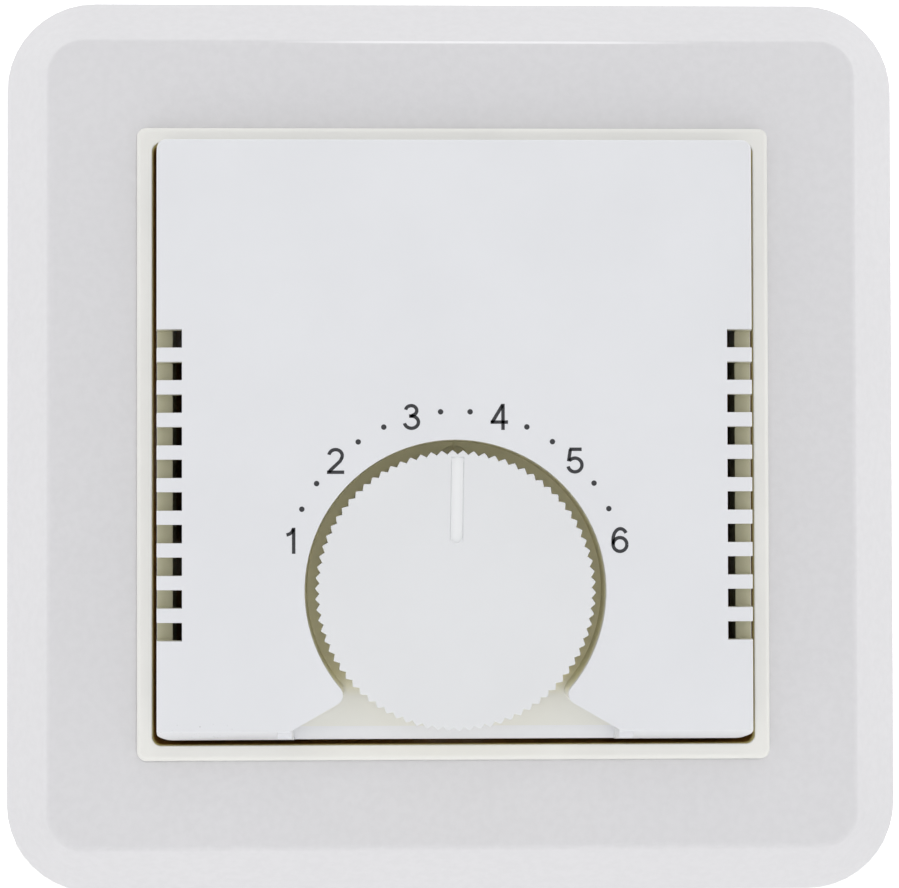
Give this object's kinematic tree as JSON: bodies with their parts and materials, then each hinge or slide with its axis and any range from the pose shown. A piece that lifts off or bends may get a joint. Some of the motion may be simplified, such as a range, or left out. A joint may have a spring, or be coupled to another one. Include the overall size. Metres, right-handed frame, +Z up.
{
  "type": "wall thermostat",
  "caption": "Square flush-mounted room thermostat: a toothed setting knob on a vented cover in a bevelled frame, with a bimetal switch inside.",
  "frame": {"origin": "centre of the wall surface behind the thermostat, midway between the two box screw holes", "axes": "+Z up, +X to the right as seen from the front, front faces -Y, +Y goes into the wall box"},
  "size_m": [0.0804, 0.0374, 0.0804],
  "materials": {
    "frame_plastic": "satin white moulded plastic",
    "ring_plastic": "satin cream-white moulded plastic",
    "cover_plastic": "satin white moulded plastic",
    "knob_plastic": "satin white moulded plastic",
    "red_plastic": "moulded red plastic",
    "blue_plastic": "moulded blue plastic",
    "spindle_plastic": "natural moulded plastic",
    "cam_plastic": "natural moulded plastic",
    "black_plastic": "fine matt moulded plastic",
    "zinc_steel": "bright zinc plated",
    "yellow_zinc": "yellow chromated zinc plate",
    "spring_steel": "rolled spring steel",
    "brass": "stamped brass",
    "silver_contact": "silver contact rivet",
    "ferrite": "sintered dark grey",
    "bimetal": "rolled bimetal sheet",
    "resistor_body": "lacquered resistor body"
  },
  "bodies": {
    "base": {"outer_frame": "frame_plastic", "adapter_ring": "ring_plastic", "cover": "cover_plastic", "cover_screw": "zinc_steel", "spindle_bush": "brass", "lever_pivot_pin": "zinc_steel", "lever_spring": "spring_steel", "bimetal_bracket": "brass", "calibration_screw": "brass", "feedback_resistor": "resistor_body", "conductor_strips": "brass", "terminal_clamps": "brass", "terminal_screws": "zinc_steel", "base_housing": "black_plastic", "rear_cover": "black_plastic", "rear_cover_screws": "zinc_steel", "support_plate": "yellow_zinc", "plate_rivets": "zinc_steel"},
    "knob_shaft": {"knob": "knob_plastic", "spindle": "spindle_plastic", "cam_disc": "cam_plastic", "retaining_clip": "spring_steel"},
    "lower_limit": {"lower_limit_ring": "red_plastic"},
    "upper_limit": {"upper_limit_ring": "blue_plastic"},
    "lever": {"setting_lever": "zinc_steel", "fixed_contact": "silver_contact", "magnet": "ferrite"},
    "bimetal": {"bimetal_strip": "bimetal", "moving_contact": "silver_contact", "armature": "zinc_steel"}
  },
  "joints": [
    {"name": "knob_turn", "type": "hinge", "parent": "base", "child": "knob_shaft", "pos_m": [0, 0, -0.01261], "axis": [0, 1, 0], "range_deg": [-75, 75]},
    {"name": "lower_limit_set", "type": "hinge", "parent": "knob_shaft", "child": "lower_limit", "pos_m": [0, 0, -0.01261], "axis": [0, 1, 0], "range_deg": [-60, 0]},
    {"name": "upper_limit_set", "type": "hinge", "parent": "knob_shaft", "child": "upper_limit", "pos_m": [0, 0, -0.01261], "axis": [0, 1, 0], "range_deg": [0, 60]},
    {"name": "lever_tilt", "type": "hinge", "parent": "base", "child": "lever", "pos_m": [-0.0185, 0, -0.00516], "axis": [0, -1, 0], "range_deg": [-1.25, 1.25]},
    {"name": "bimetal_bend", "type": "hinge", "parent": "base", "child": "bimetal", "pos_m": [-0.0185, 0, 0.006], "axis": [0, 1, 0], "range_deg": [-0.5, 0.5], "stiffness_Nm_per_rad": 0.5}
  ],
  "couplings": [
    {"joint": "lever_tilt", "follows": "knob_turn", "ratio": 0.016}
  ]
}
